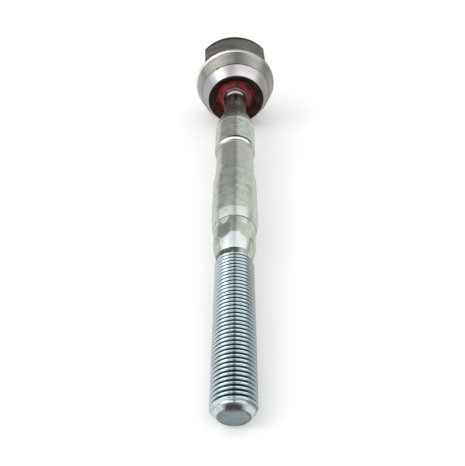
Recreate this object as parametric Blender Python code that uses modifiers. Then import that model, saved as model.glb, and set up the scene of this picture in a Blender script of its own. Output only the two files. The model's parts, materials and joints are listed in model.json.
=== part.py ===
"""Inner tie rod of a rack and pinion steering: a threaded rod with a ball at one
end, held in a forged housing by two resin seats and a rolled lip.

It lies as it comes to rest: the edge of the housing's drum and the threaded end
of the rod touch the floor, z = 0. The rod points along Y, threaded end at -Y.
Lengths are in metres. Along the rod, stations run from the threaded end to the
ball. In the housing, heights run from the ball's centre towards the stud.
"""

import math

import bmesh
import bpy
from mathutils import Euler, Matrix, Vector

# Rod, from its threaded end to the ball
ROD_THREAD_RADIUS = 0.0070
ROD_THREAD_LENGTH = 0.0582
ROD_END_CHAMFER = 0.0022
RELIEF_RADIUS = 0.0064
RELIEF_LENGTH = 0.0027
RELIEF_SLOPE = 0.0003
LOWER_CONE_START_RADIUS = 0.0067
LOWER_CONE_LENGTH = 0.0066
LAND_RADIUS = 0.00815
LAND_LENGTH = 0.0084
HEX_ACROSS_FLATS = 0.0155
HEX_RAMP_LENGTH = 0.0030
HEX_STEP = 0.0001
UPPER_CONE_START_RADIUS = 0.0084
UPPER_CONE_LENGTH = 0.0049
BODY_RADIUS = 0.0089
BODY_LENGTH = 0.0236
BOOT_TAPER_LENGTH = 0.0060
BOOT_GROOVE_RADIUS = 0.00805
BOOT_GROOVE_LENGTH = 0.0151
BOOT_STEP_LENGTH = 0.0014
SHOULDER_RADIUS = 0.0089
SHOULDER_LENGTH = 0.0160
SHOULDER_FALL_LENGTH = 0.0190
NECK_RADIUS = 0.0053
NECK_LENGTH = 0.0104
NECK_FILLET = 0.0030

# Ball and its two seats
BALL_RADIUS = 0.0112
BALL_FLAT_RADIUS = 0.0050
CLEARANCE = 0.0003
SEAT_WALL = 0.0020
SEAT_OPENING_ANGLE = math.radians(53.0)
SEAT_FRONT_RIM = 0.0010
REAR_SEAT_FLOOR = 0.0015
REAR_SEAT_CHAMFER = 0.0025

# Housing, from its rolled lip to the stud
THROAT_LAND = 0.00025
FUNNEL_DEPTH = 0.0019
RIM_RADIUS = 0.0141
RIM_ROUND = 0.0004
LIP_LENGTH = 0.0059
LIP_START_RADIUS = 0.0171
LIP_STEP = 0.0003
BAND_LENGTH = 0.0077
BAND_RADIUS = 0.0200
DRUM_RADIUS = 0.0204
DRUM_CHAMFER = 0.0006
FLOOR_THICKNESS = 0.0039
FLAT_ACROSS = 0.0305
FLAT_SETBACK = 0.0006

# Threaded stud that screws into the end of the rack
STUD_RADIUS = 0.0080
STUD_LENGTH = 0.0130
STUD_UNDERCUT_RADIUS = 0.0068
STUD_UNDERCUT_LENGTH = 0.0022
STUD_UNDERCUT_SLOPE = 0.0008
STUD_CHAMFER = 0.0015

# How the joint stands when the part lies at rest
HOUSING_NOD = math.radians(4.8)
HOUSING_TURN = math.radians(2.6)

# Facets round each turned piece: 4n + 2, so that a facet and not an edge faces the floor
ROD_SIDES = 34
HOUSING_SIDES = 42
SEAT_SIDES = 42
ARC_STEP = math.radians(9.0)
RIM_STEP = math.radians(40.0)
SHARP_ANGLE = math.radians(24.0)
WELD = 1e-6

BALL_CAVITY = BALL_RADIUS + CLEARANCE
SEAT_RADIUS = BALL_CAVITY + SEAT_WALL
BORE_RADIUS = SEAT_RADIUS + CLEARANCE
SEAT_OPENING_RADIUS = BALL_CAVITY * math.sin(SEAT_OPENING_ANGLE)
THROAT_RADIUS = SEAT_OPENING_RADIUS + SEAT_FRONT_RIM

SEAT_FRONT = -BALL_CAVITY * math.cos(SEAT_OPENING_ANGLE)
THROAT_BACK = SEAT_FRONT - CLEARANCE * math.sqrt(2.0)
THROAT_FRONT = THROAT_BACK - THROAT_LAND
RIM = THROAT_FRONT - FUNNEL_DEPTH
BAND_FRONT = RIM + LIP_LENGTH
DRUM_FRONT = BAND_FRONT + BAND_LENGTH
REAR_SEAT_BACK = BALL_CAVITY + REAR_SEAT_FLOOR
BORE_FLOOR = REAR_SEAT_BACK + CLEARANCE
DRUM_BACK = BORE_FLOOR + FLOOR_THICKNESS
STUD_UNDERCUT_END = DRUM_BACK + STUD_UNDERCUT_LENGTH
STUD_END = DRUM_BACK + STUD_LENGTH


def arc(centre, radius, start, end, step=ARC_STEP):
    """Points (r, z) of a round stretch, both ends in, angles from the +r direction."""
    count = max(1, math.ceil(abs(end - start) / step - 1e-6))
    angles = [start + (end - start) * i / count for i in range(count + 1)]
    return [(centre[0] + radius * math.cos(a), centre[1] + radius * math.sin(a)) for a in angles]


def rounded_corner(before, corner, after, radius, step=ARC_STEP):
    """Points (r, z) of the arc that rounds the corner between two straight stretches."""
    corner = Vector(corner)
    first = (Vector(before) - corner).normalized()
    second = (Vector(after) - corner).normalized()
    half = 0.5 * first.angle(second)
    centre = corner + (first + second).normalized() * (radius / math.sin(half))
    reach = radius / math.tan(half)
    ends = [corner + first * reach - centre, corner + second * reach - centre]
    start, end = (math.atan2(point.y, point.x) for point in ends)
    return arc(centre, radius, start, start + math.remainder(end - start, 2.0 * math.pi), step)


def shoulder_fall(start, steps=8):
    """Points (r, z) of the smooth fall from the shoulder to the neck, ends left out."""
    points = []
    for i in range(1, steps):
        share = i / steps
        drop = 0.5 * (1.0 - math.cos(math.pi * share))
        radius = SHOULDER_RADIUS + (NECK_RADIUS - SHOULDER_RADIUS) * drop
        points.append((radius, start + SHOULDER_FALL_LENGTH * share))
    return points


def boot_step(start, steps=3):
    """Points (r, z) of the rounded step from the boot groove up to the shoulder."""
    points = []
    for i in range(steps + 1):
        turn = 0.5 * math.pi * i / steps
        radius = BOOT_GROOVE_RADIUS + (SHOULDER_RADIUS - BOOT_GROOVE_RADIUS) * math.sin(turn)
        points.append((radius, start + BOOT_STEP_LENGTH * (1.0 - math.cos(turn))))
    return points


def ball_outline(neck_end):
    """Points (r, z) from the neck over the ball to its flat, and the ball's centre."""
    fillet_radius = NECK_RADIUS + NECK_FILLET
    ball_centre = neck_end + math.sqrt((BALL_RADIUS + NECK_FILLET) ** 2 - fillet_radius**2)
    meeting = math.atan2(neck_end - ball_centre, fillet_radius)
    flat = math.acos(BALL_FLAT_RADIUS / BALL_RADIUS)
    fillet = arc((fillet_radius, neck_end), NECK_FILLET, math.pi, meeting + math.pi, 2.0 * ARC_STEP)
    ball = arc((0.0, ball_centre), BALL_RADIUS, meeting, flat)
    return fillet + ball[1:], ball_centre


def rod_outline():
    """Points (r, station) from the threaded end to the ball, and the named stations."""
    relief = ROD_THREAD_LENGTH
    lower_cone = relief + RELIEF_LENGTH
    land = lower_cone + LOWER_CONE_LENGTH
    upper_cone = land + LAND_LENGTH
    body = upper_cone + UPPER_CONE_LENGTH
    boot_taper = body + BODY_LENGTH
    groove = boot_taper + BOOT_TAPER_LENGTH
    step = groove + BOOT_GROOVE_LENGTH
    shoulder = step + BOOT_STEP_LENGTH
    fall = shoulder + SHOULDER_LENGTH
    neck = fall + SHOULDER_FALL_LENGTH
    ball_points, ball_centre = ball_outline(neck + NECK_LENGTH)
    points = [
        (0.0, 0.0),
        (ROD_THREAD_RADIUS - ROD_END_CHAMFER, 0.0),
        (ROD_THREAD_RADIUS, ROD_END_CHAMFER),
        (ROD_THREAD_RADIUS, relief),
        (RELIEF_RADIUS, relief + RELIEF_SLOPE),
        (RELIEF_RADIUS, lower_cone - RELIEF_SLOPE),
        (LOWER_CONE_START_RADIUS, lower_cone),
        (LAND_RADIUS, land),
        (LAND_RADIUS, upper_cone),
        (UPPER_CONE_START_RADIUS, upper_cone),
        (BODY_RADIUS, body),
        (BODY_RADIUS, boot_taper),
        (BOOT_GROOVE_RADIUS, groove),
    ]
    points += boot_step(step)
    points.append((SHOULDER_RADIUS, fall))
    points += shoulder_fall(fall)
    points.append((NECK_RADIUS, neck))
    points += ball_points
    points.append((0.0, points[-1][1]))
    return points, {"land": land, "upper_cone": upper_cone, "ball": ball_centre}


def housing_outline():
    """Points (r, z) from the stud's end down the outside, in at the mouth and up the bore."""
    lip_start = (LIP_START_RADIUS, BAND_FRONT)
    throat = (THROAT_RADIUS, THROAT_FRONT)
    rim = rounded_corner(lip_start, (RIM_RADIUS, RIM), throat, RIM_ROUND, RIM_STEP)
    return [
        (0.0, STUD_END),
        (STUD_RADIUS - STUD_CHAMFER, STUD_END),
        (STUD_RADIUS, STUD_END - STUD_CHAMFER),
        (STUD_RADIUS, STUD_UNDERCUT_END + STUD_UNDERCUT_SLOPE),
        (STUD_UNDERCUT_RADIUS, STUD_UNDERCUT_END),
        (STUD_UNDERCUT_RADIUS, DRUM_BACK),
        (DRUM_RADIUS - DRUM_CHAMFER, DRUM_BACK),
        (DRUM_RADIUS, DRUM_BACK - DRUM_CHAMFER),
        (DRUM_RADIUS, DRUM_FRONT),
        (BAND_RADIUS, DRUM_FRONT),
        (LIP_START_RADIUS + LIP_STEP, BAND_FRONT),
        lip_start,
        *rim,
        throat,
        (THROAT_RADIUS, THROAT_BACK),
        (BORE_RADIUS, THROAT_BACK + BORE_RADIUS - THROAT_RADIUS),
        (BORE_RADIUS, BORE_FLOOR),
        (0.0, BORE_FLOOR),
    ]


def front_seat_outline():
    """Closed outline (r, z) of the ring between the ball's front half and the lip."""
    parting = -0.5 * CLEARANCE
    opening = SEAT_OPENING_ANGLE - 0.5 * math.pi
    equator = -math.asin(0.5 * CLEARANCE / BALL_CAVITY)
    inside = arc((0.0, 0.0), BALL_CAVITY, opening, equator)
    return [
        (SEAT_RADIUS, parting),
        (SEAT_RADIUS, SEAT_FRONT + SEAT_RADIUS - THROAT_RADIUS),
        (THROAT_RADIUS, SEAT_FRONT),
        *inside,
    ]


def rear_seat_outline():
    """Points (r, z) of the cup behind the ball, from its back round to its bowl."""
    parting = 0.5 * CLEARANCE
    equator = math.asin(0.5 * CLEARANCE / BALL_CAVITY)
    bowl = arc((0.0, 0.0), BALL_CAVITY, equator, 0.5 * math.pi)
    return [
        (0.0, REAR_SEAT_BACK),
        (SEAT_RADIUS - REAR_SEAT_CHAMFER, REAR_SEAT_BACK),
        (SEAT_RADIUS, REAR_SEAT_BACK - REAR_SEAT_CHAMFER),
        (SEAT_RADIUS, parting),
        *bowl[:-1],
        (0.0, BALL_CAVITY),
    ]


def make_material(name, colour, roughness, metallic):
    material = bpy.data.materials.new(name)
    material.use_nodes = True
    shader = material.node_tree.nodes["Principled BSDF"]
    shader.inputs["Base Color"].default_value = (*colour, 1.0)
    shader.inputs["Roughness"].default_value = roughness
    shader.inputs["Metallic"].default_value = metallic
    return material


def turned(name, outline, sides, material, collection, closed=False):
    """A piece turned about its own Z from an outline of points (r, z), top to bottom."""
    mesh = bpy.data.meshes.new(name)
    edges = [(i, i + 1) for i in range(len(outline) - 1)]
    if closed:
        edges.append((len(outline) - 1, 0))
    mesh.from_pydata([(r, 0.0, z) for r, z in outline], edges, [])
    if material:
        mesh.materials.append(material)
    piece = bpy.data.objects.new(name, mesh)
    collection.objects.link(piece)
    screw = piece.modifiers.new("Turn", "SCREW")
    screw.axis = "Z"
    screw.angle = 2.0 * math.pi
    screw.steps = sides
    screw.render_steps = sides
    screw.use_merge_vertices = True
    screw.merge_threshold = WELD
    return piece


def box(name, low, high, collection):
    """A box from corner to corner."""
    mesh = bpy.data.meshes.new(name)
    shape = bmesh.new()
    bmesh.ops.create_cube(shape, size=1.0)
    size = Vector(high) - Vector(low)
    middle = (Vector(high) + Vector(low)) / 2.0
    shape.transform(Matrix.Translation(middle) @ Matrix.Diagonal((*size, 1.0)))
    shape.to_mesh(mesh)
    shape.free()
    piece = bpy.data.objects.new(name, mesh)
    collection.objects.link(piece)
    return piece


def keep_as_tool(piece, parent):
    """Hang a cutting tool on its parent and keep it out of the render."""
    piece.parent = parent
    piece.hide_render = True
    piece.display_type = "WIRE"


def cut(piece, tool):
    modifier = piece.modifiers.new("Cut " + tool.name, "BOOLEAN")
    modifier.operation = "DIFFERENCE"
    modifier.solver = "EXACT"
    modifier.object = tool


def finish(piece):
    """Turn the piece's modifiers into its mesh, shaded smooth between its sharp edges."""
    graph = bpy.context.evaluated_depsgraph_get()
    mesh = bpy.data.meshes.new_from_object(piece.evaluated_get(graph))
    piece.modifiers.clear()
    piece.data = mesh
    mesh.shade_smooth()
    mesh.set_sharp_from_angle(angle=SHARP_ANGLE)


def hex_cutters(stations, parent, collection):
    """The six tools of the wrench hexagon, each with its inner face on a flat.

    At the ball's end the flats run out on a cone round the rod's axis, so that each
    ends in a curve. Each tool is hollowed by that cone and leaves it standing, with a
    small step at its top. At the other end the flats run out on the lower cone.
    """
    half = 0.5 * HEX_ACROSS_FLATS
    start = stations["land"] - LOWER_CONE_LENGTH - stations["ball"]
    end = stations["upper_cone"] - stations["ball"]
    rise = LAND_RADIUS - HEX_STEP - half
    cone = [
        (0.0, end + HEX_RAMP_LENGTH),
        (half + 2.0 * rise, end + HEX_RAMP_LENGTH),
        (half - rise, end - 2.0 * HEX_RAMP_LENGTH),
        (0.0, end - 2.0 * HEX_RAMP_LENGTH),
    ]
    ramp = turned("hex_ramp", cone, ROD_SIDES, None, collection)
    keep_as_tool(ramp, parent)
    reach = 2.0 * LAND_RADIUS
    tools = []
    for index in range(6):
        tool = box(f"hex_flat_{index}", (half, -reach, start), (reach, reach, end), collection)
        keep_as_tool(tool, parent)
        tool.rotation_euler = (0.0, 0.0, math.radians(60.0 * index))
        cut(tool, ramp)
        tools.append(tool)
    return tools


def make_rod(parent, parts, tools):
    """The forged rod with its ball, boot groove, wrench hexagon and threaded end."""
    steel = make_material("zinc_plated_steel", (0.48, 0.50, 0.45), 0.36, 0.9)
    points, stations = rod_outline()
    outline = [(r, station - stations["ball"]) for r, station in reversed(points)]
    rod = turned("rod", outline, ROD_SIDES, steel, parts)
    rod.parent = parent
    for tool in hex_cutters(stations, parent, tools):
        cut(rod, tool)
    return rod


def make_housing(parent, parts, tools):
    """The forged housing: drum with two wrench flats, turned band, rolled lip and stud."""
    steel = make_material("dark_forged_steel", (0.16, 0.155, 0.145), 0.5, 0.8)
    housing = turned("housing", housing_outline(), HOUSING_SIDES, steel, parts)
    housing.parent = parent
    front = DRUM_FRONT + FLAT_SETBACK
    for name, side in (("left", -1.0), ("right", 1.0)):
        near = side * 0.5 * FLAT_ACROSS
        far = side * 2.0 * DRUM_RADIUS
        low = (min(near, far), -2.0 * DRUM_RADIUS, front)
        high = (max(near, far), 2.0 * DRUM_RADIUS, STUD_END)
        tool = box("wrench_flat_" + name, low, high, tools)
        keep_as_tool(tool, parent)
        cut(housing, tool)
    return housing


def make_seats(parent, parts):
    """The two resin seats: a ring in front of the ball and a cup behind it."""
    resin = make_material("dark_resin", (0.03, 0.03, 0.032), 0.42, 0.0)
    front = turned("front_seat", front_seat_outline(), SEAT_SIDES, resin, parts, closed=True)
    rear = turned("rear_seat", rear_seat_outline(), SEAT_SIDES, resin, parts)
    for seat in (front, rear):
        seat.parent = parent
    return [front, rear]


def rest_tilt(ball_station):
    """(tilt, ball height) of the rod when drum edge and threaded end touch the floor."""
    tilt = 0.0
    height = DRUM_RADIUS
    for _ in range(40):
        nod = tilt + HOUSING_NOD
        height = DRUM_RADIUS * math.cos(nod) - DRUM_FRONT * math.sin(nod)
        reach = ball_station - ROD_END_CHAMFER
        tilt = math.asin((height - ROD_THREAD_RADIUS * math.cos(tilt)) / reach)
    return tilt, height


def make_empty(name, location, rotation, parent=None):
    empty = bpy.data.objects.new(name, None)
    empty.empty_display_size = BALL_RADIUS
    empty.location = location
    empty.rotation_euler = rotation
    empty.parent = parent
    bpy.context.scene.collection.objects.link(empty)
    return empty


def corners_of(pieces):
    """Lowest and highest corner of the box round the pieces, in world space."""
    bpy.context.view_layer.update()
    points = [piece.matrix_world @ v.co for piece in pieces for v in piece.data.vertices]
    low = Vector([min(p[axis] for p in points) for axis in range(3)])
    high = Vector([max(p[axis] for p in points) for axis in range(3)])
    return low, high


def clear_scene():
    for old in list(bpy.data.objects):
        bpy.data.objects.remove(old, do_unlink=True)


def main():
    clear_scene()
    parts = bpy.data.collections.new("tie_rod")
    tools = bpy.data.collections.new("cutting_tools")
    bpy.context.scene.collection.children.link(parts)
    bpy.context.scene.collection.children.link(tools)

    _, stations = rod_outline()
    tilt, height = rest_tilt(stations["ball"])
    upright = 0.5 * math.pi
    frame = make_empty("tie_rod_frame", (0.0, 0.0, 0.0), (0.0, 0.0, 0.0))
    centre = (0.0, 0.0, height)
    rod_pivot = make_empty("rod_pivot", centre, (tilt - upright, 0.0, 0.0), frame)
    lean = Euler((tilt + HOUSING_NOD - upright, 0.0, HOUSING_TURN), "XYZ")
    housing_pivot = make_empty("housing_pivot", centre, lean, frame)

    rod = make_rod(rod_pivot, parts, tools)
    housing = make_housing(housing_pivot, parts, tools)
    pieces = [rod, housing, *make_seats(housing_pivot, parts)]
    bpy.context.view_layer.update()
    for piece in pieces:
        finish(piece)

    low, high = corners_of(pieces)
    frame.location = (-0.5 * (low.x + high.x), -0.5 * (low.y + high.y), -low.z)
    bpy.context.view_layer.update()


main()
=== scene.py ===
"""Looks of an inner tie rod: fine turned pieces, cut threads, worn finishes and grease.

Lengths are in metres, angles in radians unless a name says degrees. Each turned piece
is drawn in its own frame, with Z on its axis, and then laid where the frame's record
says. Stations run along the rod from its threaded end, heights along the housing from
the ball's centre.
"""

import json
import math

import bmesh
import bpy
from mathutils import Matrix, Vector, noise


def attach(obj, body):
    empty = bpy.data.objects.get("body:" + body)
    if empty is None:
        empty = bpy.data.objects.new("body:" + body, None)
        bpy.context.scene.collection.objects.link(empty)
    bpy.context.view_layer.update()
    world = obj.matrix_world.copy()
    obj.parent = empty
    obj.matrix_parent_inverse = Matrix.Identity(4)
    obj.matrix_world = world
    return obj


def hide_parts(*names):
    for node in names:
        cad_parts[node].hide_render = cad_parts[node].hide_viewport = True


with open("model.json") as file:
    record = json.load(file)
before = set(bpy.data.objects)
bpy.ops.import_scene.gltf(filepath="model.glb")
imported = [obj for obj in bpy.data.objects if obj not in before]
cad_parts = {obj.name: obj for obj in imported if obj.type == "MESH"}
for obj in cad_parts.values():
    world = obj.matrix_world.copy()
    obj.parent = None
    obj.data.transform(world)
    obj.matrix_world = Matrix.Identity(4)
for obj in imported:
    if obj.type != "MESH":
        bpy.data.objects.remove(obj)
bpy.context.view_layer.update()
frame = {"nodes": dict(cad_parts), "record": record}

# Rod, as in the frame
THREAD_RADIUS = 0.0070
THREAD_LENGTH = 0.0582
THREAD_END_CHAMFER = 0.0022
THREAD_PITCH = 0.0015
RELIEF_RADIUS = 0.0064
RELIEF_LENGTH = 0.0027
LOWER_CONE_START_RADIUS = 0.0067
LOWER_CONE_LENGTH = 0.0066
LAND_RADIUS = 0.00815
LAND_LENGTH = 0.0084
HEX_ACROSS_FLATS = 0.0155
HEX_RAMP_LENGTH = 0.0030
HEX_STEP = 0.0001
UPPER_CONE_START_RADIUS = 0.0084
UPPER_CONE_LENGTH = 0.0049
BODY_RADIUS = 0.0089
BODY_LENGTH = 0.0236
BOOT_TAPER_LENGTH = 0.0060
BOOT_GROOVE_RADIUS = 0.00805
BOOT_GROOVE_LENGTH = 0.0151
BOOT_STEP_LENGTH = 0.0014
SHOULDER_RADIUS = 0.0089
SHOULDER_LENGTH = 0.0160
SHOULDER_FALL_LENGTH = 0.0190
NECK_RADIUS = 0.0053
NECK_LENGTH = 0.0104
NECK_FILLET = 0.0030
BALL_RADIUS = 0.0112
BALL_FLAT_RADIUS = 0.0050

# Seats and housing, as in the frame
CLEARANCE = 0.0003
SEAT_WALL = 0.0020
SEAT_OPENING_ANGLE = math.radians(53.0)
SEAT_FRONT_RIM = 0.0010
REAR_SEAT_FLOOR = 0.0015
THROAT_LAND = 0.00025
FUNNEL_DEPTH = 0.0019
RIM_RADIUS = 0.0141
LIP_LENGTH = 0.0059
LIP_START_RADIUS = 0.0171
LIP_STEP = 0.0003
BAND_LENGTH = 0.0077
BAND_RADIUS = 0.0200
DRUM_RADIUS = 0.0204
DRUM_CHAMFER = 0.0006
FLOOR_THICKNESS = 0.0039
FLAT_ACROSS = 0.0305
FLAT_SETBACK = 0.0006
STUD_RADIUS = 0.0080
STUD_LENGTH = 0.0130
STUD_UNDERCUT_RADIUS = 0.0068
STUD_UNDERCUT_LENGTH = 0.0022
STUD_CHAMFER = 0.0015

# Fine detail that only these looks have
TURNED_SIDES = 144
THREAD_SIDES = 96
ROWS_PER_PITCH = 12
THREAD_DEPTH_SHARE = 0.613
THREAD_HIDDEN = 0.0007
THREAD_SINK = 0.00006
EDGE_ROUND = 0.00025
ARC_STEP = math.radians(12.0)
SHARP_ANGLE = math.radians(32.0)
WELD = 1e-6
BALL_STEP = math.radians(3.0)
SEAT_STEP = math.radians(4.0)
SEAT_BACK_ANGLE = -0.013
FALL_PARTS = 28
BOOT_STEP_PARTS = 8
CREST_SHARE = 0.16
FLANK_SHARE = 0.59
RUN_OUT_SLOPE = 1.2
SPARE_TURNS = 2.0
THREAD_OVERLAP = 0.0002
GREASE_ROWS = 26
GREASE_COLUMNS = 160

# Where the zinc ends on the rod's shoulder
ZINC_END = 0.1444

# Where the boot groove's turned finish begins, on the taper before the groove
GROOVE_LINE = 0.1057

# A spot of rust on the band's edge, in the housing's frame
RUST_TURN = math.radians(32.0)

# Camera, seen from the thread's end face and along the rod's axis
CAMERA_BEFORE_END = 0.0769
CAMERA_ABOVE_AXIS = 0.14273
CAMERA_RIGHT = 0.00013
CAMERA_DOWN = math.radians(43.22)
CAMERA_YAW = math.radians(-0.352)
FOCAL_PIXELS = 553.2
PICTURE_HEIGHT = 466
SENSOR_WIDTH = 36.0

BALL_CAVITY = BALL_RADIUS + CLEARANCE
SEAT_RADIUS = BALL_CAVITY + SEAT_WALL
BORE_RADIUS = SEAT_RADIUS + CLEARANCE
THROAT_RADIUS = BALL_CAVITY * math.sin(SEAT_OPENING_ANGLE) + SEAT_FRONT_RIM
SEAT_FRONT = -BALL_CAVITY * math.cos(SEAT_OPENING_ANGLE)
THROAT_BACK = SEAT_FRONT - CLEARANCE * math.sqrt(2.0)
THROAT_FRONT = THROAT_BACK - THROAT_LAND
RIM = THROAT_FRONT - FUNNEL_DEPTH
BAND_FRONT = RIM + LIP_LENGTH
DRUM_FRONT = BAND_FRONT + BAND_LENGTH
BORE_FLOOR = BALL_CAVITY + REAR_SEAT_FLOOR + CLEARANCE
DRUM_BACK = BORE_FLOOR + FLOOR_THICKNESS
STUD_START = DRUM_BACK + STUD_UNDERCUT_LENGTH
RUST_SPOT = (
    -LIP_START_RADIUS * math.sin(RUST_TURN),
    -LIP_START_RADIUS * math.cos(RUST_TURN),
    BAND_FRONT,
)

RELIEF = THREAD_LENGTH
LOWER_CONE = RELIEF + RELIEF_LENGTH
LAND = LOWER_CONE + LOWER_CONE_LENGTH
UPPER_CONE = LAND + LAND_LENGTH
BODY = UPPER_CONE + UPPER_CONE_LENGTH
BOOT_TAPER = BODY + BODY_LENGTH
BOOT_GROOVE = BOOT_TAPER + BOOT_TAPER_LENGTH
BOOT_STEP = BOOT_GROOVE + BOOT_GROOVE_LENGTH
SHOULDER = BOOT_STEP + BOOT_STEP_LENGTH
FALL = SHOULDER + SHOULDER_LENGTH
NECK = FALL + SHOULDER_FALL_LENGTH
BALL_FOOT = NECK + NECK_LENGTH
FILLET_RADIUS = NECK_RADIUS + NECK_FILLET
BALL = BALL_FOOT + math.sqrt((BALL_RADIUS + NECK_FILLET) ** 2 - FILLET_RADIUS**2)


class Field:
    """A socket of a node tree. Sums written with it add the nodes that work them out."""

    def __init__(self, net, socket):
        self.net = net
        self.socket = socket

    def math(self, operation, *others):
        values = (self, *others)
        return self.net.node("ShaderNodeMath", dict(enumerate(values)), operation=operation)

    def __add__(self, other):
        return self.math("ADD", other)

    def __sub__(self, other):
        return self.math("SUBTRACT", other)

    def __rsub__(self, other):
        return self.net.math("SUBTRACT", other, self)

    def __mul__(self, other):
        return self.math("MULTIPLY", other)

    def __truediv__(self, other):
        return self.math("DIVIDE", other)

    def __rtruediv__(self, other):
        return self.net.math("DIVIDE", other, self)

    def __pow__(self, other):
        return self.math("POWER", other)

    def __abs__(self):
        return self.math("ABSOLUTE")

    def __neg__(self):
        return self.math("MULTIPLY", -1.0)

    __radd__ = __add__
    __rmul__ = __mul__

    def at_least(self, other):
        return self.math("MAXIMUM", other)

    def at_most(self, other):
        return self.math("MINIMUM", other)

    def unit(self):
        """The value kept between 0 and 1."""
        return self.at_least(0.0).at_most(1.0)

    def above(self, edge, width):
        """0 below the edge and 1 above it, rising over the width round it."""
        return ((self - (edge - 0.5 * width)) / width).unit()

    def between(self, low, high, width):
        return self.above(low, width) * (1.0 - self.above(high, width))

    def blend(self, low, high):
        """The number that goes from low to high as this goes from 0 to 1."""
        return (high - low) * self + low


class Net:
    """A node tree that is being built."""

    def __init__(self, tree):
        self.tree = tree

    def node(self, kind, values=None, output=0, **settings):
        """Add a node, set its settings first and then its sockets, and give one output."""
        node = self.tree.nodes.new(kind)
        for name, setting in settings.items():
            setattr(node, name, setting)
        for key, value in (values or {}).items():
            self.feed(self.pick(node.inputs, key), value)
        return Field(self, self.pick(node.outputs, output))

    def pick(self, sockets, key):
        if isinstance(key, int):
            return sockets[key]
        named = [s for s in sockets if s.identifier == key] or [s for s in sockets if s.name == key]
        return named[0]

    def feed(self, socket, value):
        if isinstance(value, Field):
            self.tree.links.new(value.socket, socket)
        elif socket.type == "RGBA" and len(value) == 3:
            socket.default_value = (*value, 1.0)
        else:
            socket.default_value = value

    def math(self, operation, *values):
        return self.node("ShaderNodeMath", dict(enumerate(values)), operation=operation)

    def mix(self, share, first, second):
        """The colour that goes from the first to the second as the share goes from 0 to 1."""
        values = {"Factor_Float": share, "A_Color": first, "B_Color": second}
        return self.node("ShaderNodeMix", values, "Result_Color", data_type="RGBA")

    def join(self, x, y, z):
        return self.node("ShaderNodeCombineXYZ", {"X": x, "Y": y, "Z": z})

    def split(self, vector):
        node = self.tree.nodes.new("ShaderNodeSeparateXYZ")
        self.feed(node.inputs[0], vector)
        return [Field(self, output) for output in node.outputs]

    def stretch(self, vector, scales):
        values = {0: vector, 1: scales}
        return self.node("ShaderNodeVectorMath", values, operation="MULTIPLY")

    def noise(self, vector, scale=1.0, detail=3.0, roughness=0.5):
        values = {"Vector": vector, "Scale": scale, "Detail": detail, "Roughness": roughness}
        return self.node("ShaderNodeTexNoise", values, "Fac")

    def spots(self, vector, scale):
        """Distance to the nearest of many scattered points."""
        values = {"Vector": vector, "Scale": scale}
        return self.node("ShaderNodeTexVoronoi", values, "Distance", feature="F1")

    def far_from(self, vector, point):
        """Distance of the place from a point."""
        values = {0: vector, 1: point}
        return self.node("ShaderNodeVectorMath", values, "Value", operation="DISTANCE")

    def bump(self, height, distance):
        values = {"Strength": 1.0, "Distance": distance, "Height": height}
        return self.node("ShaderNodeBump", values)


def frame_at(centre, direction):
    """Matrix of a frame at a centre, Z along a direction, X level and to its right."""
    z = Vector(direction).normalized()
    x = z.cross(Vector((0.0, 0.0, 1.0))).normalized()
    y = z.cross(x)
    turn = Matrix((x, y, z)).transposed().to_4x4()
    return Matrix.Translation(centre) @ turn


def record_item(kind, name):
    items = frame["record"]["mounts"] if kind == "mount" else frame["record"]["behaviour"]["joints"]
    return next(item for item in items if item["name"] == name)


ROD_END = record_item("mount", "rod_end_face")
ROD_FRAME = frame_at(ROD_END["pos_m"], -Vector(ROD_END["axis"]))
TURN = record_item("joint", "turn")
HOUSING_FRAME = frame_at(TURN["pos_m"], TURN["axis"])


def arc(centre, radius, start, end, step=ARC_STEP):
    """Points (r, z) of a round stretch, both ends in, angles from the +r direction."""
    count = max(1, math.ceil(abs(end - start) / step - 1e-6))
    angles = [start + (end - start) * i / count for i in range(count + 1)]
    return [(centre[0] + radius * math.cos(a), centre[1] + radius * math.sin(a)) for a in angles]


def rounded_corner(before, corner, after, radius):
    """Points (r, z) of the arc that rounds the corner between two straight stretches."""
    corner = Vector(corner)
    first = (Vector(before) - corner).normalized()
    second = (Vector(after) - corner).normalized()
    half = 0.5 * first.angle(second)
    centre = corner + (first + second).normalized() * (radius / math.sin(half))
    reach = radius / math.tan(half)
    ends = [corner + first * reach - centre, corner + second * reach - centre]
    start, end = (math.atan2(point.y, point.x) for point in ends)
    return arc(centre, radius, start, start + math.remainder(end - start, 2.0 * math.pi))


def rounded(corners):
    """Outline (r, z) from corners (r, z, radius); a corner of radius 0 stays sharp."""
    points = []
    for i, (r, z, radius) in enumerate(corners):
        if radius and 0 < i < len(corners) - 1:
            points += rounded_corner(corners[i - 1][:2], (r, z), corners[i + 1][:2], radius)
        else:
            points.append((r, z))
    return points


def link(name, mesh):
    piece = bpy.data.objects.new(name, mesh)
    bpy.context.scene.collection.objects.link(piece)
    return piece


def turned(name, outline, sides=TURNED_SIDES, closed=False):
    """A piece turned about Z from an outline of points (r, z), given from top to bottom."""
    mesh = bpy.data.meshes.new(name)
    edges = [(i, i + 1) for i in range(len(outline) - 1)]
    if closed:
        edges.append((len(outline) - 1, 0))
    mesh.from_pydata([(r, 0.0, z) for r, z in outline], edges, [])
    piece = link(name, mesh)
    screw = piece.modifiers.new("Turn", "SCREW")
    screw.axis = "Z"
    screw.angle = 2.0 * math.pi
    screw.steps = sides
    screw.render_steps = sides
    screw.use_merge_vertices = True
    screw.merge_threshold = WELD
    return piece


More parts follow.
